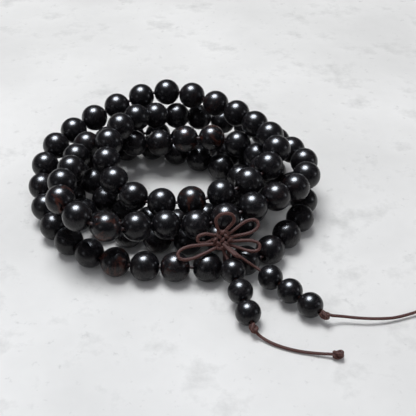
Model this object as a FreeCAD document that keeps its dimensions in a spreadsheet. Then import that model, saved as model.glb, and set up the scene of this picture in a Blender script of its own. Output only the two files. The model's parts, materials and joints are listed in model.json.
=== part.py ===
import FreeCAD, Part
import Sketcher
import math
import os

# A mala: a closed strand of round wooden prayer beads on a waxed cord, lying in loose turns on a flat
# surface. The strand is tied off in a flower knot, from which two tails hang, each with three smaller
# beads between the knot and a stop knot, and a free end with an end knot.
# Millimetres. +Z is up, the surface is z = 0, the flower knot is on the -Y side, and the origin is under
# the middle of the coiled strand.

V = FreeCAD.Vector

SIZES = {
    "BeadCount": 108,
    "BeadDiameter": 8.3,
    "BeadBore": 1.6,
    "BeadCountersink": 0.3,
    "BeadClearance": 0.06,  # least gap between any two strand beads
    "LongestEdge": 8.8,  # longest stretch of cord that one bead takes
    "EndEdge": 9.4,  # least stretch for each of the two beads beside the knot
    "TailBeadDiameter": 6.8,
    "TailBeadBore": 1.4,
    "TailBeadPitch": 6.9,
    "CordDiameter": 0.9,
    "TailCordDiameter": 0.8,
    "KnotPitch": 1.35,  # between neighbouring cords of the woven core
    "KnotBar": 1.3,
    "KnotBarLength": 3.6,
    "StopKnotLength": 2.8,
    "StopKnotWidth": 2.4,
    "EndKnotLength": 3.0,
    "EndKnotWidth": 2.4,
}

# The strand's route through the pile, from the knot round clockwise as seen from above: the place of
# every third bead to the whole millimetre, and last a place past the end. settled_corners then settles it.
ROUTE = [
    (10.5, -35, 4), (-15, -33, 4), (-34, -18, 4), (-40, 6, 9), (-27, 26, 14), (-3, 34, 19),
    (20, 22, 18), (30, 0, 18), (14, -17, 14), (-11, -16, 14), (-20, 5, 18), (-7, 26, 14),
    (17, 34, 7), (32, 18, 10), (38, -4, 13), (22, -22, 15), (-1, -26, 12), (-25, -28, 17),
    (-29, -6, 16), (-21, 15, 11), (3, 16, 11), (25, 6, 10), (15, -13, 8), (-8, -14, 4),
    (-25, 2, 4), (-18, 23, 4), (5, 19, 4), (22, 1, 4), (16, -20, 4), (-10, -21, 4),
    (-30, -4, 4), (-30, 23, 4), (-5, 30, 4), (19, 18, 4), (39, 0, 4), (31, -22, 4),
    (13, -36, 4),
]
ROUTE_STEP = 3  # beads from one place of the route to the next
SETTLING_ROUNDS = 400
STEEPEST_TURN = 40.0  # degrees between neighbouring beads

# Every fourth strand bead, counted from the second, is a node of its own, and the rest lie in groups.
SINGLE_EVERY = 4
SINGLE_FIRST = 1
GROUP_SPAN = 12  # beads of the strand that one group covers

# The flower knot's core, and the way its face looks: towards -Y and up.
KNOT_CENTRE = V(14.25, -32.18, 11.33)
KNOT_TILT = 50.0
KNOT_TURN = 45.0

# The strand's two ends meet side by side under the knot, rise from between the beads and go into the core.
STRAND_ENDS = (V(14.9, -35.1, 4.15), V(16.1, -33.6, 4.15))
KNOT_ENTRIES = (V(14.6, -31.97, 9.55), V(15.8, -31.67, 10.15))

# Petals: where each starts and ends on the core, its tip, and its greatest width.
PETALS = {
    "petal_top": (V(13.4, -30.87, 12.45), V(14.5, -30.77, 12.75), V(15.3, -31.57, 20.15), 4.6),
    "petal_upper_right": (V(15.5, -31.17, 12.25), V(16.1, -31.57, 11.75), V(23.6, -28.77, 14.55), 1.9),
    "petal_right": (V(16.4, -32.27, 10.95), V(15.9, -32.87, 10.35), V(25, -33.67, 10.15), 2.2),
    "petal_lower_right": (V(14.4, -33.67, 11.15), V(14.8, -33.07, 10.55), V(18.2, -37.57, 10.25), 1.8),
    "petal_lower_left": (V(13.2, -33.27, 9.95), V(12.6, -32.77, 10.45), V(1.4, -36.37, 10.45), 2.6),
    "petal_left": (V(12.3, -31.67, 11.55), V(12.8, -31.27, 12.25), V(6.8, -32.57, 12.75), 2.2),
}

# Tails: where each cord leaves the core, its first bead, the way its beads run, and its free end's route,
# which ends in the end knot.
TAILS = {
    "left": {
        "start": V(14, -33.47, 9.65),
        "first_bead": V(17.0, -38.9, 6.2),
        "along": V(3.6, -12.9, -2.7),
        "bends": [],
        "free_end": [
            V(23.2, -57.6, 1.0), V(26.2, -59.8, 0.6), V(30.6, -61.9, 0.6), V(36.4, -63.3, 0.6),
            V(42.0, -64.2, 1.3),
        ],
    },
    "right": {
        "start": V(15.0, -32.8, 9.7),
        "first_bead": V(27.1, -39.5, 4.35),
        "along": V(9.9, -9.6, -0.9),
        "bends": [V(20.8, -36.5, 7.3), V(24.1, -36.6, 4.62)],
        "free_end": [
            V(44.9, -51.7, 2.0), V(49.8, -52.4, 1.9), V(55.0, -52.3, 1.6), V(60.4, -51.1, 0.9),
            V(66.0, -49.0, 1.3),
        ],
    },
}
TAIL_BEADS = 3

doc = FreeCAD.newDocument("mala")
sheet = doc.addObject("Spreadsheet::Sheet", "Sizes")
for row, (name, value) in enumerate(SIZES.items(), 1):
    sheet.set(f"A{row}", name)
    sheet.set(f"B{row}", str(value))
    sheet.setAlias(f"B{row}", name)
doc.recompute()

bead_count = int(sheet.BeadCount)
sub_parts = []


def unit(vector):
    return vector * (1.0 / vector.Length)


def place_along(centre, direction):
    """A placement at centre whose own Z runs along direction."""
    return FreeCAD.Placement(centre, FreeCAD.Rotation(V(0, 0, 1), direction))


def keep(part, label):
    part.Label = label
    sub_parts.append(part)
    return part


# ---- where the strand lies ----

def smooth_point(points, at):
    """The point at a fractional index on a smooth curve through points."""
    first = min(int(at), len(points) - 2)
    share = at - first
    before = points[max(first - 1, 0)]
    start = points[first]
    end = points[first + 1]
    after = points[min(first + 2, len(points) - 1)]
    linear = (end - before) * share
    square = (before * 2 - start * 5 + end * 4 - after) * share ** 2
    cube = (start * 3 - before - end * 3 + after) * share ** 3
    return start + (linear + square + cube) * 0.5


def settled_corners():
    """The points where the cord bends, with a bead on each stretch between two of them. They start on the
    route and are moved, a little at a time, until no two beads overlap, none is under the surface, the
    cord is neither stretched nor folded, and neighbours keep their distance."""
    stations = [V(*place) for place in ROUTE]
    beads = [smooth_point(stations, i / ROUTE_STEP) for i in range(bead_count + 1)]
    corners = [(beads[i - 1] + beads[i]) * 0.5 for i in range(1, bead_count)]
    corners.insert(0, beads[0] * 2 - corners[0])
    corners.append(beads[bead_count - 1] * 2 - corners[-1])
    radius = sheet.BeadDiameter / 2
    apart = sheet.BeadDiameter + sheet.BeadClearance
    last = bead_count - 1
    for _ in range(SETTLING_ROUNDS):
        centres = [(corners[i] + corners[i + 1]) * 0.5 for i in range(bead_count)]
        move = [V(0, 0, 0) for _ in corners]
        for i in range(bead_count):
            for j in range(i + 1, bead_count):
                between = centres[j] - centres[i]
                if abs(between.x) > apart or abs(between.y) > apart or between.Length >= apart:
                    continue
                push = unit(between) * ((apart + 0.02 - between.Length) * 0.5)
                for end in (0, 1):
                    move[i + end] -= push
                    move[j + end] += push
        for i in range(bead_count):
            edge = corners[i + 1] - corners[i]
            least = sheet.EndEdge if i in (0, last) else apart
            wanted = min(max(edge.Length, least), max(least, sheet.LongestEdge))
            stretch = unit(edge) * ((wanted - edge.Length) * 0.5)
            move[i] -= stretch
            move[i + 1] += stretch
            if centres[i].z < radius:
                lift = V(0, 0, radius - centres[i].z)
                move[i] += lift
                move[i + 1] += lift
        for i in range(1, bead_count):
            turn = (corners[i] - corners[i - 1]).getAngle(corners[i + 1] - corners[i])
            if turn > math.radians(STEEPEST_TURN):
                move[i] += ((corners[i - 1] + corners[i + 1]) * 0.5 - corners[i]) * 0.1
        corners = [corner + step * 0.5 for corner, step in zip(corners, move)]
        corners[0], corners[-1] = STRAND_ENDS
    return corners


corners = settled_corners()
bead_centres = [(corners[i] + corners[i + 1]) * 0.5 for i in range(bead_count)]
bead_axes = [unit(corners[i + 1] - corners[i]) for i in range(bead_count)]


# ---- beads ----

def bead_body(label, kind):
    """A turned bead with its bore along Z, countersunk at both ends."""
    body = doc.addObject("PartDesign::Body", label)
    sketch = body.newObject("Sketcher::SketchObject", label + "_profile")
    planes = [plane for plane in body.Origin.OriginFeatures if plane.Role == "XZ_Plane"]
    sketch.AttachmentSupport = [(planes[0], "")]
    sketch.MapMode = "FlatFace"
    radius = sheet.get(kind + "Diameter") / 2
    bore = sheet.get(kind + "Bore") / 2
    sink = sheet.BeadCountersink
    rim = math.sqrt(radius ** 2 - (bore + sink) ** 2)
    angle = math.atan2(rim, bore + sink)
    circle = Part.Circle(V(0, 0, 0), V(0, 0, 1), radius)
    sketch.addGeometry(Part.LineSegment(V(bore, sink - rim, 0), V(bore, rim - sink, 0)))
    sketch.addGeometry(Part.LineSegment(V(bore, rim - sink, 0), V(bore + sink, rim, 0)))
    sketch.addGeometry(Part.ArcOfCircle(circle, -angle, angle))
    sketch.addGeometry(Part.LineSegment(V(bore + sink, -rim, 0), V(bore, sink - rim, 0)))
    wall, upper, arc, lower = range(4)
    start, end, centre, origin = 1, 2, 3, -1
    for first, second in (
        ((wall, end), (upper, start)),
        ((upper, end), (arc, end)),
        ((arc, start), (lower, start)),
        ((lower, end), (wall, start)),
        ((arc, centre), (origin, start)),
    ):
        sketch.addConstraint(Sketcher.Constraint("Coincident", *first, *second))
    sketch.addConstraint(Sketcher.Constraint("Vertical", wall))
    driven = (
        (("Radius", arc, radius), f"Sizes.{kind}Diameter / 2"),
        (("DistanceX", origin, start, wall, start, bore), f"Sizes.{kind}Bore / 2"),
        (("DistanceX", wall, end, upper, end, sink), "Sizes.BeadCountersink"),
        (("DistanceY", wall, end, upper, end, sink), "Sizes.BeadCountersink"),
        (("DistanceX", wall, start, lower, start, sink), "Sizes.BeadCountersink"),
        (("DistanceY", lower, start, wall, start, sink), "Sizes.BeadCountersink"),
    )
    for constraint, formula in driven:
        index = sketch.addConstraint(Sketcher.Constraint(*constraint))
        sketch.setExpression(f"Constraints[{index}]", formula)
    turned = body.newObject("PartDesign::Revolution", label + "_turned")
    turned.Profile = sketch
    turned.ReferenceAxis = (sketch, ["V_Axis"])
    turned.Angle = 360
    return body


def bead_group(label, members):
    """Several strand beads in one node, each a separate solid."""
    links = []
    for index in members:
        link = doc.addObject("App::Link", f"{label}_{index + 1}")
        link.LinkedObject = pattern_bead
        link.LinkPlacement = place_along(bead_centres[index], bead_axes[index])
        links.append(link)
    group = doc.addObject("Part::Compound", label)
    group.Links = links
    return group


# ---- cords ----

def rounded_path(points, share):
    """Straight runs joined by tangent arcs. Each arc takes the given share of its shorter run."""
    edges = []
    radii = []
    at = points[0]
    for before, corner, after in zip(points, points[1:], points[2:]):
        back = before - corner
        ahead = after - corner
        turn = math.pi - back.getAngle(ahead)
        reach = share * min(back.Length, ahead.Length)
        radius = reach / math.tan(turn / 2)
        start = corner + unit(back) * reach
        end = corner + unit(ahead) * reach
        inward = unit(unit(back) + unit(ahead))
        middle = corner + inward * (radius / math.cos(turn / 2) - radius)
        edges.append(Part.LineSegment(at, start).toShape())
        edges.append(Part.Arc(start, middle, end).toShape())
        radii.append(radius)
        at = end
    edges.append(Part.LineSegment(at, points[-1]).toShape())
    return Part.Wire(edges), radii


def cord(label, points, diameter, share):
    """A round cord along a route, as one solid."""
    path, radii = rounded_path(points, share)
    circle = Part.Wire(Part.Circle(points[0], points[1] - points[0], diameter / 2).toShape())
    solid = path.makePipeShell([circle], True, False)
    expected = math.pi * diameter ** 2 / 4 * path.Length
    print(
        f"{label}: length {path.Length:.1f}, volume {solid.Volume:.2f} of {expected:.2f},",
        f"arcs from {min(radii):.2f} to {max(radii):.2f}",
    )
    if abs(solid.Volume - expected) > 0.01 * expected:
        raise ValueError(f"{label} has the wrong volume")
    part = doc.addObject("Part::Feature", label)
    part.Shape = solid
    return keep(part, label)


def petal_route(start, end, tip, width):
    """A loop from start out to the tip and back to end, widest near two thirds of the way."""
    root = (start + end) * 0.5
    reach = tip - root
    side = start - end
    fold = max(width / 4, 1.15 * sheet.CordDiameter)
    sideways = unit(side - unit(reach) * side.dot(unit(reach)))
    across = sideways * (width / 2)
    middle = root + reach * 0.42
    widest = tip - unit(reach) * max(reach.Length * 0.24, 2.4 * sheet.CordDiameter)
    return [
        start,
        middle + across * 0.85,
        widest + across,
        tip + sideways * fold,
        tip - sideways * fold,
        widest - across,
        middle - across * 0.85,
        end,
    ]


def ellipsoid(label, centre, direction, length_alias, width_alias):
    """A tight knot in a cord, as its rounded outer shape."""
    knot = doc.addObject("Part::Ellipsoid", label)
    knot.setExpression("Radius1", f"Sizes.{length_alias} / 2")
    knot.setExpression("Radius2", f"Sizes.{width_alias} / 2")
    knot.setExpression("Radius3", f"Sizes.{width_alias} / 2")
    knot.Angle1 = -90
    knot.Angle2 = 90
    knot.Placement = place_along(centre, direction)
    return keep(knot, label)


# ---- the strand ----

pattern_bead = bead_body("bead_pattern", "Bead")
doc.recompute()

singles = range(SINGLE_FIRST, bead_count, SINGLE_EVERY)
for index in singles:
    bead = keep(bead_body(f"bead_{index + 1:03d}", "Bead"), f"bead_{index + 1:03d}")
    bead.Placement = place_along(bead_centres[index], bead_axes[index])
for first in range(0, bead_count, GROUP_SPAN):
    members = [i for i in range(first, first + GROUP_SPAN) if i not in singles]
    label = f"beads_{first + 1:03d}_to_{first + GROUP_SPAN:03d}"
    keep(bead_group(label, members), label)

strand_route = [
    KNOT_ENTRIES[0],
    *corners,
    KNOT_ENTRIES[1],
]
STRAND_ARC_SHARE = 0.2
cord("strand_cord", strand_route, sheet.CordDiameter, STRAND_ARC_SHARE)

# ---- the flower knot ----

across = V(1, 0, 0)
facing = V(0, -math.sin(math.radians(KNOT_TILT)), math.cos(math.radians(KNOT_TILT)))
upward = facing.cross(across)
turned = FreeCAD.Rotation(facing, KNOT_TURN)
bars = []
for layer, along in ((0.5, across), (-0.5, upward)):
    beside = turned.multVec(facing.cross(along))
    for row in (-1, 0, 1):
        bar = doc.addObject("Part::Cylinder", "knot_bar")
        bar.setExpression("Radius", "Sizes.KnotBar / 2")
        bar.setExpression("Height", "Sizes.KnotBarLength")
        middle = KNOT_CENTRE + beside * (row * sheet.KnotPitch) + facing * (layer * sheet.CordDiameter)
        direction = turned.multVec(along)
        bar.Placement = place_along(middle - direction * (sheet.KnotBarLength / 2), direction)
        bars.append(bar)
core = doc.addObject("Part::MultiFuse", "knot_core")
core.Shapes = bars
keep(core, "knot_core")

PETAL_ARC_SHARE = 0.45
for label, (start, end, tip, width) in PETALS.items():
    cord(label, petal_route(start, end, tip, width), sheet.CordDiameter, PETAL_ARC_SHARE)

# ---- the tails ----

TAIL_ARC_SHARE = 0.45
for side, tail in TAILS.items():
    along = unit(tail["along"])
    for number in range(TAIL_BEADS):
        label = f"{side}_tail_bead_{number + 1}"
        bead = keep(bead_body(label, "TailBead"), label)
        bead.Placement = place_along(tail["first_bead"] + along * (number * sheet.TailBeadPitch), along)
    last_bead = tail["first_bead"] + along * ((TAIL_BEADS - 1) * sheet.TailBeadPitch)
    stop = last_bead + along * ((sheet.TailBeadDiameter + sheet.StopKnotLength) / 2 + 0.05)
    straight_from = tail["bends"] or [tail["first_bead"] - along * (sheet.TailBeadDiameter / 2 + 0.5)]
    route = [tail["start"], *straight_from, stop, *tail["free_end"]]
    cord(f"{side}_tail_cord", route, sheet.TailCordDiameter, TAIL_ARC_SHARE)
    ellipsoid(f"{side}_stop_knot", stop, along, "StopKnotLength", "StopKnotWidth")
    finish = tail["free_end"][-1]
    ending = unit(finish - tail["free_end"][-2])
    ellipsoid(f"{side}_end_knot", finish + ending * 0.6, ending, "EndKnotLength", "EndKnotWidth")

# ---- checks and files ----

doc.recompute()
for thing in doc.Objects:
    if "Invalid" in thing.State or "Error" in thing.State:
        raise ValueError(f"{thing.Name} failed: {thing.State}")
os.makedirs("parts", exist_ok=True)
for part in sub_parts:
    if part.Shape.isNull() or not part.Shape.isValid():
        raise ValueError(f"{part.Label} has no valid shape")
    part.Shape.exportStep(f"parts/{part.Label}.step")
print(f"{len(sub_parts)} sub-parts written")
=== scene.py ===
import json
import math
import random

import bpy
import numpy as np
from mathutils import Matrix, Vector


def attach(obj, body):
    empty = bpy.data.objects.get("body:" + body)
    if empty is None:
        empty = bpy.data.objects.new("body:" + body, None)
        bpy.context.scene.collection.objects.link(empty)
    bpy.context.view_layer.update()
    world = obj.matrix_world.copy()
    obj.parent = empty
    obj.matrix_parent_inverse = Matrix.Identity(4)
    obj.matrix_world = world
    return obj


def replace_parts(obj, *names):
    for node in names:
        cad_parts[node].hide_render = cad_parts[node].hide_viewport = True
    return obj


# A mala of near-black wooden beads, lying in loose turns, with a flower knot and two beaded tails.
# Metres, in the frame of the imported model: +Z up, the knot on the -Y side.

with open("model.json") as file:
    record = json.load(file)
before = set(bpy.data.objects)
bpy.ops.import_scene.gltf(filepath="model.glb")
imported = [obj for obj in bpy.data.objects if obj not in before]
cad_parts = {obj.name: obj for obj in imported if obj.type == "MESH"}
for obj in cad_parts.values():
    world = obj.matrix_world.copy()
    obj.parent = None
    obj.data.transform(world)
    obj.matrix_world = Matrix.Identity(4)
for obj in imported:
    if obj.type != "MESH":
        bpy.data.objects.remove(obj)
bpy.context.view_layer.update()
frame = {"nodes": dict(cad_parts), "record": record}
MM = 0.001
random.seed(8)


def mm(x, y, z):
    """A point given in millimetres."""
    return Vector((x, y, z)) * MM


# ---- camera, lights and floor ----

scene = bpy.context.scene
scene.view_settings.view_transform = "Standard"

camera = bpy.data.objects.new("camera", bpy.data.cameras.new("camera"))
scene.collection.objects.link(camera)
camera.data.sensor_width = 36
camera.data.lens = 71.8
camera.data.clip_start = 0.01
camera.location = mm(10.3, -203.95, 156.5)
camera.rotation_euler = (mm(10.3, -3.6, 0) - camera.location).to_track_quat("-Z", "Y").to_euler()
scene.camera = camera


def soft_light(name, direction, distance, size, power, colour=(1, 1, 1)):
    """A round area light that faces the middle of the strand."""
    light = bpy.data.lights.new(name, "AREA")
    light.shape = "DISK"
    light.size = size
    light.energy = power
    light.color = colour
    lamp = bpy.data.objects.new(name, light)
    scene.collection.objects.link(lamp)
    way = Vector(direction).normalized()
    lamp.location = mm(5, -5, 5) + way * distance
    lamp.rotation_euler = way.to_track_quat("Z", "Y").to_euler()
    return lamp


soft_light("overhead_light", (-0.15, 0.24, 0.96), 0.80, 0.44, 4.75)
glow = soft_light("overhead_glow", (-0.15, 0.24, 0.96), 0.79, 0.47, 25.0, (0.82, 0.89, 1.0))
glow.visible_diffuse = False
soft_light("right_light", (0.96, -0.13, 0.30), 0.90, 0.20, 0.55, (0.88, 0.93, 1.0))
soft_light("left_light", (-0.64, -0.61, 0.47), 0.90, 0.20, 0.30, (0.88, 0.93, 1.0))


class Nodes:
    """A short way to write a node tree."""

    def __init__(self, tree):
        self.tree = tree
        tree.nodes.clear()

    def add(self, kind, inputs=None, **settings):
        node = self.tree.nodes.new(kind)
        for name, value in settings.items():
            setattr(node, name, value)
        for socket, value in (inputs or {}).items():
            self.set(node.inputs[socket], value)
        return node

    def set(self, socket, value):
        if isinstance(value, bpy.types.NodeSocket):
            self.tree.links.new(value, socket)
        else:
            socket.default_value = value

    def math(self, operation, first, second=0.0, third=0.0):
        node = self.add("ShaderNodeMath", operation=operation)
        for socket, value in zip(node.inputs, (first, second, third)):
            self.set(socket, value)
        return node.outputs[0]

    def mix(self, factor, first, second):
        node = self.add("ShaderNodeMix", data_type="RGBA")
        self.set(node.inputs[0], factor)
        self.set(node.inputs[6], first)
        self.set(node.inputs[7], second)
        return node.outputs[2]

    def ramp(self, factor, *stops):
        """Each stop is (position, value or colour)."""
        node = self.add("ShaderNodeValToRGB", {"Fac": factor})
        elements = node.color_ramp.elements
        while len(elements) < len(stops):
            elements.new(1.0)
        for element, (position, value) in zip(elements, stops):
            colour = value if isinstance(value, tuple) else (value, value, value)
            element.position = position
            element.color = (*colour, 1)
        return node.outputs["Color"]

    def noise(self, vector, scale, detail=4.0, roughness=0.5, distortion=0.0):
        node = self.add(
            "ShaderNodeTexNoise",
            {"Vector": vector, "Scale": scale, "Detail": detail, "Roughness": roughness, "Distortion": distortion},
        )
        return node.outputs["Fac"]

    def attribute(self, name, output="Vector"):
        return self.add("ShaderNodeAttribute", attribute_name=name).outputs[output]

    def stretched(self, vector, x, y, z):
        return self.add("ShaderNodeVectorMath", {0: vector, 1: (x, y, z)}, operation="MULTIPLY").outputs[0]

    def bump(self, height, strength, distance, normal=None):
        node = self.add("ShaderNodeBump", {"Height": height, "Strength": strength, "Distance": distance})
        if normal is not None:
            self.set(node.inputs["Normal"], normal)
        return node.outputs["Normal"]


def material(name):
    made = bpy.data.materials.new(name)
    made.use_nodes = True
    nodes = Nodes(made.node_tree)
    shader = nodes.add("ShaderNodeBsdfPrincipled")
    output = nodes.add("ShaderNodeOutputMaterial", {"Surface": shader.outputs[0]})
    return made, nodes, shader


world = bpy.data.worlds.new("studio")
world.use_nodes = True
scene.world = world
nodes = Nodes(world.node_tree)
direction = nodes.add("ShaderNodeTexCoord").outputs["Generated"]
height = nodes.add("ShaderNodeSeparateXYZ", {0: direction}).outputs["Z"]
sky = nodes.ramp(height, (0.0, (0.55, 0.56, 0.58)), (0.25, (0.40, 0.40, 0.42)), (0.7, (0.34, 0.34, 0.36)))
reflected = nodes.add("ShaderNodeLightPath").outputs["Is Glossy Ray"]
strength = nodes.math("MULTIPLY_ADD", reflected, -0.88, 1.0)
background = nodes.add("ShaderNodeBackground", {"Color": sky, "Strength": strength})
nodes.add("ShaderNodeOutputWorld", {"Surface": background.outputs[0]})


def floor_material():
    made, nodes, shader = material("pale_stone")
    position = nodes.add("ShaderNodeTexCoord").outputs["Object"]
    clouds = nodes.noise(position, 14.0, 5.0, 0.6)
    specks = nodes.noise(position, 260.0, 3.0, 0.7)
    patches = nodes.noise(position, 55.0, 6.0, 0.65)
    base = nodes.mix(nodes.ramp(clouds, (0.35, 0.0), (0.65, 1.0)), (0.655, 0.655, 0.64, 1), (0.775, 0.775, 0.76, 1))
    marked = nodes.mix(nodes.ramp(patches, (0.54, 0.0), (0.70, 0.75)), base, (0.52, 0.52, 0.505, 1))
    colour = nodes.mix(nodes.ramp(specks, (0.62, 0.0), (0.74, 0.5)), marked, (0.45, 0.45, 0.44, 1))
    nodes.set(shader.inputs["Base Color"], colour)
    shader.inputs["Roughness"].default_value = 0.62
    shader.inputs["Specular IOR Level"].default_value = 0.25
    nodes.set(shader.inputs["Normal"], nodes.bump(patches, 0.12, 0.0006))
    return made


floor_mesh = bpy.data.meshes.new("floor")
floor_mesh.from_pydata([(-3, -3, 0), (3, -3, 0), (3, 3, 0), (-3, 3, 0)], [], [(0, 1, 2, 3)])
floor = bpy.data.objects.new("floor", floor_mesh)
scene.collection.objects.link(floor)
floor_mesh.materials.append(floor_material())


# ---- materials of the mala ----

def ebony_material():
    """Polished near-black wood. Each bead carries its own grain coordinates, streak strength and tone."""
    made, nodes, shader = material("polished_ebony")
    grain = nodes.attribute("grain")
    streak = nodes.attribute("streak", "Fac")
    tone = nodes.attribute("tone", "Fac")
    rings = nodes.noise(nodes.stretched(grain, 1.5, 1.5, 0.16), 0.9, 5.0, 0.62, 0.35)
    fibres = nodes.noise(nodes.stretched(grain, 9.0, 9.0, 0.55), 1.0, 3.0, 0.6)
    pores = nodes.noise(nodes.stretched(grain, 14.0, 14.0, 1.6), 1.0, 2.0, 0.5)
    patches = nodes.noise(nodes.stretched(grain, 0.42, 0.42, 0.12), 1.0, 3.0, 0.55, 0.6)
    dark = nodes.mix(tone, (0.0024, 0.0024, 0.0036, 1), (0.0042, 0.0039, 0.0052, 1))
    lined = nodes.mix(nodes.ramp(rings, (0.48, 0.0), (0.62, 0.55)), dark, (0.016, 0.0125, 0.0125, 1))
    fibred = nodes.mix(nodes.ramp(fibres, (0.55, 0.0), (0.72, 0.55)), lined, (0.0025, 0.0024, 0.0030, 1))
    # Thin, lighter grey lines that curve across each bead, set in its grain coordinates.
    thin_curved_lines = nodes.ramp(patches, (0.455, 0.0), (0.475, 1.0), (0.495, 0.0))
    curve_lined = nodes.mix(nodes.math("MULTIPLY", thin_curved_lines, 0.55), fibred, (0.030, 0.026, 0.030, 1))
    where = nodes.ramp(patches, (0.52, 0.0), (0.64, 1.0))
    streaked = nodes.math("MULTIPLY", where, streak)
    amount = nodes.math("MULTIPLY", streaked, nodes.ramp(rings, (0.36, 0.25), (0.56, 1.0)))
    nodes.set(shader.inputs["Base Color"], nodes.mix(amount, curve_lined, (0.085, 0.024, 0.014, 1)))
    rough = nodes.math("MULTIPLY_ADD", nodes.ramp(fibres, (0.3, 0.0), (0.7, 1.0)), 0.04, 0.25)
    nodes.set(shader.inputs["Roughness"], rough)
    shader.inputs["Specular IOR Level"].default_value = 0.33
    pitted = nodes.bump(nodes.ramp(pores, (0.26, 0.0), (0.40, 1.0)), 0.05, 0.00002)
    nodes.set(shader.inputs["Normal"], nodes.bump(rings, 0.02, 0.00004, pitted))
    return made


def cord_material(name, dark, light, red):
    """Round braided cord. Its pieces carry lay: cosine and sine round the cord, and millimetres along it."""
    made, nodes, shader = material(name)
    lay = nodes.attribute("lay")
    parts = nodes.add("ShaderNodeSeparateXYZ", {0: lay})
    around = nodes.math("ARCTAN2", parts.outputs["Y"], parts.outputs["X"])
    along = nodes.math("MULTIPLY", parts.outputs["Z"], 2 * math.pi / 0.95)
    turned = nodes.math("MULTIPLY", around, 4.0)
    one = nodes.math("SINE", nodes.math("ADD", turned, along))
    other = nodes.math("SINE", nodes.math("SUBTRACT", turned, along))
    ridges = nodes.math("SMOOTH_MAX", one, other, 0.5)
    position = nodes.add("ShaderNodeTexCoord").outputs["Object"]
    fuzz = nodes.noise(position, 5200.0, 4.0, 0.7)
    soil = nodes.noise(position, 420.0, 4.0, 0.6)
    height = nodes.math("MULTIPLY_ADD", fuzz, 0.35, ridges)
    # The braid's grooves are painted darker and its ridges lighter: painted shade in the grooves and painted light
    # on the ridges.
    shade = nodes.ramp(ridges, (0.15, 0.0), (0.95, 1.0))
    colour = nodes.mix(shade, dark, light)
    colour = nodes.mix(nodes.ramp(soil, (0.42, 0.0), (0.68, 0.45)), colour, red)
    nodes.set(shader.inputs["Base Color"], nodes.mix(nodes.ramp(fuzz, (0.45, 0.0), (0.75, 0.25)), colour, light))
    nodes.set(shader.inputs["Roughness"], nodes.math("MULTIPLY_ADD", fuzz, 0.2, 0.55))
    shader.inputs["Specular IOR Level"].default_value = 0.12
    shader.inputs["Sheen Weight"].default_value = 0.08
    shader.inputs["Sheen Roughness"].default_value = 0.45
    shader.inputs["Sheen Tint"].default_value = (0.85, 0.62, 0.58, 1)
    nodes.set(shader.inputs["Normal"], nodes.bump(height, 0.5, 0.00003))
    return made


def plain_cord_material(name):
    """The dark waxed cord that runs through the beads."""
    made, nodes, shader = material(name)
    fuzz = nodes.noise(nodes.add("ShaderNodeTexCoord").outputs["Object"], 3800.0, 4.0, 0.65)
    nodes.set(shader.inputs["Base Color"], nodes.mix(fuzz, (0.020, 0.009, 0.009, 1), (0.085, 0.042, 0.038, 1)))
    shader.inputs["Roughness"].default_value = 0.6
    shader.inputs["Specular IOR Level"].default_value = 0.3
    nodes.set(shader.inputs["Normal"], nodes.bump(fuzz, 0.4, 0.00005))
    return made


ebony = ebony_material()
# The first colour is the painted shade in the braid's grooves; the second is the painted light on its ridges, also
# used for its fuzz.
braid = cord_material(
    "braided_cord", (0.036, 0.015, 0.013, 1), (0.130, 0.060, 0.051, 1), (0.100, 0.036, 0.030, 1)
)


# ---- pieces ----

def piece(name, vertices, faces, body, made_of, layers=None):
    """A smooth-shaded mesh in the row frame that rides on a body. layers holds its point attributes."""
    mesh = bpy.data.meshes.new(name)
    mesh.from_pydata(vertices, [], faces)
    for layer, values in (layers or {}).items():
        values = np.asarray(values, np.float32)
        if values.ndim == 1:
            mesh.attributes.new(layer, "FLOAT", "POINT").data.foreach_set("value", values)
        else:
            mesh.attributes.new(layer, "FLOAT_VECTOR", "POINT").data.foreach_set("vector", values.ravel())
    mesh.polygons.foreach_set("use_smooth", [True] * len(mesh.polygons))
    mesh.materials.append(made_of)
    mesh.update()
    made = bpy.data.objects.new(name, mesh)
    scene.collection.objects.link(made)
    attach(made, body)
    return made


def grid_faces(rows, columns, first=0, closed_rows=False):
    """Quads of a grid of points that closes round its columns, and round its rows if asked."""
    faces = []
    for row in range(rows if closed_rows else rows - 1):
        for column in range(columns):
            after = (column + 1) % columns
            below = (row + 1) % rows
            faces.append((
                first + row * columns + column,
                first + row * columns + after,
                first + below * columns + after,
                first + below * columns + column,
            ))
    return faces


# ---- beads ----

AROUND = 56
RINGS = 34


def bead_profile(radius, bore):
    """(radius, height) of the points round the section of a turned bead: down the outside, up the bore."""
    mouth = bore + 0.34 * MM
    lip = 0.10 * MM
    start = math.asin((mouth + lip) / radius)
    outline = []
    for i in range(RINGS + 1):
        angle = start + (math.pi - 2 * start) * i / RINGS
        outline.append((radius * math.sin(angle), radius * math.cos(angle)))
    rim = radius * math.cos(start)
    below = [
        (mouth, -rim - lip * 0.15), (mouth - lip * 0.8, -rim + lip * 0.35), (bore + lip, -rim + lip * 1.7),
        (bore, -rim + lip * 3.2),
    ]
    above = [(r, -z) for r, z in reversed(below)]
    return outline + below + [(bore, 0.0)] + above


def bead_points(centre, axis, radius, bore, seed):
    """The points of one turned bead, its own grain coordinates in millimetres, and a slight hand-made unevenness."""
    own = random.Random(seed)
    profile = bead_profile(radius, bore)
    turn = Vector(axis).to_track_quat("Z", "Y").to_matrix()
    spin = own.uniform(0, 2 * math.pi)
    squeeze = own.uniform(-0.0035, 0.0035)
    lobes = own.choice((2, 3))
    lobe = own.uniform(0.0, 0.0030)
    local = []
    for r, z in profile:
        for i in range(AROUND):
            angle = 2 * math.pi * i / AROUND
            swell = 1 + squeeze + lobe * math.cos(lobes * angle + spin)
            local.append((r * swell * math.cos(angle), r * swell * math.sin(angle), z * (1 - squeeze)))
    local = np.array(local)
    placed = local @ np.array(turn).T + np.array(centre)
    lean = Matrix.Rotation(own.uniform(0, math.pi), 3, "X") @ Matrix.Rotation(own.uniform(0, math.pi), 3, "Y")
    shift = np.array([own.uniform(-40, 40) for _ in range(3)])
    grain = local / MM @ np.array(lean).T + shift
    return placed, grain, len(profile)


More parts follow.
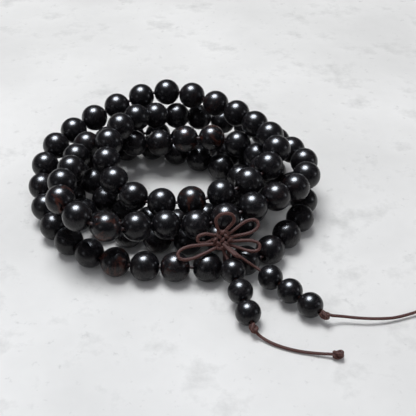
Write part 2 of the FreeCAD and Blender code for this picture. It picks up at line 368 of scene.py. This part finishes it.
def bead_solids(node):
    """(centre, axis, radius) of each bead in a CAD node, in the order in which the node holds them."""
    mesh = frame["nodes"][node].data
    points = np.empty(len(mesh.vertices) * 3, np.float32)
    mesh.vertices.foreach_get("co", points)
    points = points.reshape(-1, 3).astype(float)
    edges = np.empty(len(mesh.edges) * 2, np.int32)
    mesh.edges.foreach_get("vertices", edges)
    edges = edges.reshape(-1, 2)
    _, welded = np.unique(np.round(points / 1e-6).astype(np.int64), axis=0, return_inverse=True)
    welded = welded.ravel()
    label = np.arange(welded.max() + 1)
    a, b = welded[edges[:, 0]], welded[edges[:, 1]]
    while True:
        lower = np.minimum(label[a], label[b])
        new = label.copy()
        np.minimum.at(new, a, lower)
        np.minimum.at(new, b, lower)
        new = new[new]
        if (new == label).all():
            break
        label = new
    island = label[welded]
    found = []
    for name in sorted(set(island), key=lambda n: int(np.argmax(island == n))):
        found.append(fitted_bead(points[island == name]))
    return found


def fitted_bead(points):
    """The centre of a sphere through a bead's outer points, the direction of its bore, and its radius."""
    centre = (points.min(0) + points.max(0)) / 2
    radius = np.median(np.linalg.norm(points - centre, axis=1))
    for _ in range(3):
        far = np.linalg.norm(points - centre, axis=1)
        outer = points[far > radius * 0.975]
        system = np.column_stack([2 * outer, np.ones(len(outer))])
        answer = np.linalg.lstsq(system, (outer ** 2).sum(1), rcond=None)[0]
        centre = answer[:3]
        radius = math.sqrt(answer[3] + centre @ centre)
    inner = points[np.linalg.norm(points - centre, axis=1) < radius * 0.985] - centre
    axis = np.linalg.svd(inner - inner.mean(0), full_matrices=False)[2][0]
    return centre, axis, radius


# Strand beads with reddish streaks in the wood, by their numbers from the knot, and how strong they are.
REDDISH = {2: 0.25, 4: 0.6, 18: 0.25, 26: 0.6, 51: 0.55, 53: 0.7, 61: 0.55, 62: 0.7}
FAINTLY_REDDISH = 0.12  # the most that any other bead gets
TAIL_BEADS_UNDER = 3.5 * MM  # radius
STRAND_BORE = 0.8 * MM
TAIL_BORE = 0.7 * MM
bead_number = 0


def strand_numbers(node):
    """The numbers of the strand beads that a CAD node holds, from its name. Tail beads have none."""
    if "tail" in node:
        return [0]
    numbers = [int(word) for word in node.split("_") if word.isdigit()]
    if len(numbers) == 1:
        return numbers
    return [n for n in range(numbers[0], numbers[1] + 1) if n % 4 != 2]


def bead_piece(node, body, name):
    """Detailed beads in place of one CAD node."""
    global bead_number
    vertices, faces, grains, streaks, tones = [], [], [], [], []
    for number, (centre, axis, radius) in zip(strand_numbers(node), bead_solids(node)):
        bead_number += 1
        own = random.Random(1000 + bead_number)
        bore = STRAND_BORE if radius > TAIL_BEADS_UNDER else TAIL_BORE
        placed, grain, rows = bead_points(centre, axis, radius, bore, bead_number)
        faces += grid_faces(rows, AROUND, len(vertices), closed_rows=True)
        vertices += placed.tolist()
        grains.append(grain)
        streaks.append(np.full(len(placed), REDDISH.get(number, FAINTLY_REDDISH * own.random() ** 3)))
        tones.append(np.full(len(placed), own.random()))
    made = piece(
        name, vertices, faces, body, ebony,
        {"grain": np.concatenate(grains), "streak": np.concatenate(streaks), "tone": np.concatenate(tones)},
    )
    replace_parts(made, node)
    return made


for body, members in frame["record"]["behaviour"]["bodies"].items():
    for node in members:
        if node.startswith("bead") or "tail_bead" in node:
            bead_piece(node, body, "turned_" + node)


# ---- cords ----

def nurbs_line(points, closed=False):
    """Points along the smooth NURBS line that a route's points control."""
    curve = bpy.data.curves.new("route", "CURVE")
    curve.dimensions = "3D"
    curve.resolution_u = 10
    spline = curve.splines.new("NURBS")
    spline.points.add(len(points) - 1)
    for point, place in zip(spline.points, points):
        point.co = (*place, 1)
    spline.order_u = 3
    spline.use_endpoint_u = not closed
    spline.use_cyclic_u = closed
    holder = bpy.data.objects.new("route", curve)
    mesh = bpy.data.meshes.new_from_object(holder)
    line = [vertex.co.copy() for vertex in mesh.vertices]
    bpy.data.objects.remove(holder)
    bpy.data.curves.remove(curve)
    bpy.data.meshes.remove(mesh)
    return line


def evenly(line, step):
    """The same line with points at an even step."""
    line = np.array([tuple(p) for p in line])
    run = np.concatenate([[0], np.cumsum(np.linalg.norm(np.diff(line, axis=0), axis=1))])
    count = max(int(run[-1] / step), 2)
    at = np.linspace(0, run[-1], count + 1)
    return np.column_stack([np.interp(at, run, line[:, k]) for k in range(3)]), at


def tube_points(line, along, radius, sides=18):
    """Rings of points round a line, with the frame carried along it, and the lay attribute."""
    directions = np.gradient(line, axis=0)
    directions /= np.linalg.norm(directions, axis=1)[:, None]
    side = Vector(directions[0]).orthogonal().normalized()
    before = Vector(directions[0])
    rings, lays = [], []
    for place, way, distance in zip(line, directions, along):
        way = Vector(way)
        side = before.rotation_difference(way) @ side
        side = (side - way * side.dot(way)).normalized()
        across = way.cross(side)
        before = way
        size = radius(distance) if callable(radius) else radius
        for i in range(sides):
            angle = 2 * math.pi * i / sides
            offset = side * math.cos(angle) + across * math.sin(angle)
            rings.append(tuple(Vector(place) + offset * size))
            lays.append((math.cos(angle), math.sin(angle), distance / MM))
    return rings, lays


def cord_mesh(lines, radius, sides=18):
    """One mesh of several cords: their points, faces and lay."""
    vertices, faces, lays = [], [], []
    for line in lines:
        even, along = evenly(line, 0.10 * MM)
        rings, lay = tube_points(even, along, radius, sides)
        first = len(vertices)
        vertices += rings
        lays += lay
        faces += grid_faces(len(even), sides, first)
        for start, flip in ((first, True), (first + (len(even) - 1) * sides, False)):
            cap = list(range(start, start + sides))
            faces.append(tuple(reversed(cap)) if flip else tuple(cap))
    return vertices, faces, {"lay": lays}


CORD = 0.45 * MM
TAIL_CORD = 0.40 * MM

# Petals: where each starts and ends on the core, its tip, and its greatest width.
PETALS = {
    "petal_top": (mm(13.4, -30.87, 12.45), mm(14.5, -30.77, 12.75), mm(15.3, -31.57, 19.85), 4.4),
    "petal_upper_right": (mm(15.5, -31.17, 12.25), mm(16.1, -31.57, 11.75), mm(23.6, -28.77, 14.55), 2.9),
    "petal_right": (mm(16.4, -32.27, 10.95), mm(15.9, -32.87, 10.35), mm(24, -33.67, 10.15), 2.5),
    "petal_lower_right": (mm(14.4, -33.67, 11.15), mm(14.8, -33.07, 10.55), mm(18.2, -37.57, 10.25), 1.8),
    "petal_lower_left": (mm(13.2, -33.27, 9.95), mm(12.6, -32.77, 10.45), mm(2.5, -36.37, 9.35), 3.0),
    "petal_left": (mm(12.3, -31.67, 11.55), mm(12.8, -31.27, 12.25), mm(7.7, -32.57, 11.85), 2.2),
}


def petal_route(start, end, tip, width):
    """A loop from start out to the tip and back to end, widest near two thirds of the way."""
    root = (start + end) / 2
    reach = tip - root
    way = reach.normalized()
    side = start - end
    sideways = (side - way * side.dot(way)).normalized()
    across = sideways * (width * MM * 0.62)
    fold = sideways * max(width * MM * 0.31, 1.035 * MM)
    middle = root + reach * 0.42
    widest = tip - way * max(reach.length * 0.24, 2.16 * MM)
    return [
        start, middle + across * 0.72, widest + across, tip + fold + way * 0.25 * MM,
        tip - fold + way * 0.25 * MM, widest - across, middle - across * 0.72, end,
    ]


for name, (start, end, tip, width) in PETALS.items():
    line = nurbs_line(petal_route(start, end, tip, width))
    vertices, faces, layers = cord_mesh([line], CORD)
    made = piece("braided_" + name, vertices, faces, "mala", braid, layers)
    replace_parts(made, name)

# The tails: each cord's route, from the core to its end knot.
TAILS = {
    "left": {
        "start": mm(14, -33.47, 9.65),
        "first_bead": mm(17.0, -38.9, 6.2),
        "along": Vector((3.6, -12.9, -2.7)).normalized(),
        "bends": [],
        "free_end": [
            mm(23.2, -57.6, 1.0), mm(26.2, -59.8, 0.6), mm(30.6, -61.9, 0.6), mm(36.4, -63.3, 0.6),
            mm(42.0, -64.2, 1.3),
        ],
    },
    "right": {
        "start": mm(15.0, -32.8, 9.7),
        "first_bead": mm(27.1, -39.5, 4.35),
        "along": Vector((9.9, -9.6, -0.9)).normalized(),
        "bends": [mm(20.8, -36.5, 7.3), mm(24.1, -36.6, 4.62)],
        "free_end": [
            mm(44.9, -51.7, 2.0), mm(49.8, -52.4, 1.9), mm(55.0, -52.3, 1.6), mm(60.4, -51.1, 0.9),
            mm(66.0, -49.0, 1.3),
        ],
    },
}


def tied_knot(name, node, centre, direction, length, width, thickness):
    """A tight knot, as a cord that winds three times through its own turns. In millimetres."""
    turn = direction.to_track_quat("Z", "Y").to_matrix()
    reach = width / 2 - thickness
    line = []
    for i in range(121):
        t = 2 * math.pi * i / 120
        out = reach * (0.60 + 0.40 * math.cos(3 * t))
        up = (length / 2 - thickness) * math.sin(3 * t)
        line.append(centre + turn @ mm(out * math.cos(2 * t), out * math.sin(2 * t), up))
    vertices, faces, layers = cord_mesh([line], thickness * MM, 14)
    made = piece(name, vertices, faces, "mala", braid, layers)
    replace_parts(made, node)
    return name


for side, tail in TAILS.items():
    along = tail["along"]
    last_bead = tail["first_bead"] + along * (2 * 6.9 * MM)
    stop = last_bead + along * (4.85 * MM)
    straight_from = tail["bends"] or [tail["first_bead"] - along * (3.9 * MM)]
    route = [tail["start"], *straight_from, stop, *tail["free_end"]]
    line = nurbs_line(route)
    vertices, faces, layers = cord_mesh([line], TAIL_CORD)
    made = piece(f"braided_{side}_tail", vertices, faces, "mala", braid, layers)
    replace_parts(made, f"{side}_tail_cord")
    finish = tail["free_end"][-1]
    ending = (finish - tail["free_end"][-2]).normalized()
    knots = [
        tied_knot(f"tied_{side}_stop_knot", f"{side}_stop_knot", stop, along, 2.7, 2.5, 0.43),
        tied_knot(f"tied_{side}_end_knot", f"{side}_end_knot", finish + ending * 0.6 * MM, ending, 2.9, 2.6, 0.46),
    ]

# The core of the flower knot: two sets of three cords that cross over and under each other.
CORE = mm(14.25, -32.5, 11.6)
CORE_PITCH = 1.4
facing = Vector((0, -math.sin(math.radians(50)), math.cos(math.radians(50))))
rightward = Matrix.Rotation(math.radians(45), 3, facing) @ Vector((1, 0, 0))
upward = facing.cross(rightward)


def woven_line(along, beside, sign):
    """Three passes side by side, joined by turns at their ends."""
    points = []
    for row in (-1, 0, 1):
        way = 1 if row == 0 else -1
        for step in range(-9, 10):
            at = way * step / 9 * 1.95
            lift = sign * (-1) ** row * 0.46 * math.cos(math.pi * at / CORE_PITCH)
            points.append(CORE + (along * at + beside * row * CORE_PITCH + facing * lift) * MM)
        if row < 1:
            points.append(CORE + (along * way * 2.5 + beside * (row + 0.5) * CORE_PITCH) * MM)
    return nurbs_line(points)


vertices, faces, layers = cord_mesh([woven_line(rightward, upward, 1), woven_line(upward, rightward, -1)], CORD)
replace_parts(piece("woven_knot_core", vertices, faces, "mala", braid, layers), "knot_core")

waxed = plain_cord_material("waxed_cord")
strand_cord = frame["nodes"]["strand_cord"].data
strand_cord.materials.clear()
strand_cord.materials.append(waxed)
